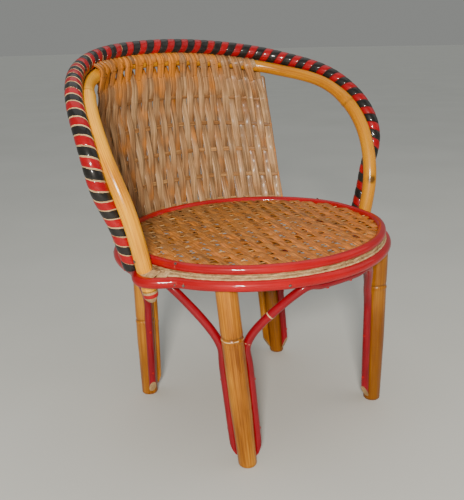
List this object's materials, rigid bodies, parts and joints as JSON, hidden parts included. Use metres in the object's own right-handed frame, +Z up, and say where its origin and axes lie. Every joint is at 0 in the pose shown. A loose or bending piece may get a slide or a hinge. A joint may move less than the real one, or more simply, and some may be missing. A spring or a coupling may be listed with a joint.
{
  "type": "child's cane armchair",
  "caption": "Small bent-cane armchair with a woven oval seat, a curved woven back, a wrapped top rail, painted trim hoops and arched leg braces.",
  "frame": {"origin": "centre of the whole chair's box, on the floor", "axes": "+Z up; the chair's front faces -Y; +X is the side at the right of someone who looks at the front"},
  "size_m": [0.4033, 0.3175, 0.418],
  "materials": {
    "cane": "natural cane, varnished",
    "red_cane": "gloss red paint on cane",
    "red_strip": "gloss red lacquer on flat cane",
    "black_strip": "gloss black lacquer on flat cane",
    "weave": "varnished flat cane strands",
    "cut_cane": "bare split cane",
    "nail_steel": "dulled wire nails"
  },
  "bodies": {
    "root": {"leg_front_left": "cane", "leg_front_right": "cane", "leg_back_left": "cane", "leg_back_right": "cane", "brace_back": "cane", "seat_frame_hoop": "cane", "seat_cross_bars": "cane", "arm_hoop": "cane", "top_rail": "cane", "brace_front": "red_cane", "brace_left": "red_cane", "brace_right": "red_cane", "seat_top_trim": "red_cane", "seat_lower_trim": "red_cane", "rail_wrap_red": "red_strip", "rail_wrap_black": "black_strip", "seat_ribs": "weave", "seat_strands_odd": "weave", "seat_strands_even": "weave", "back_ribs": "weave", "back_strands_odd": "weave", "back_strands_even": "weave", "seat_edge_band": "cut_cane", "back_stake_left": "cut_cane", "back_stake_right": "cut_cane", "trim_nails": "nail_steel", "brace_nails": "nail_steel", "hoop_nails": "nail_steel", "back_nails": "nail_steel"}
  },
  "joints": []
}
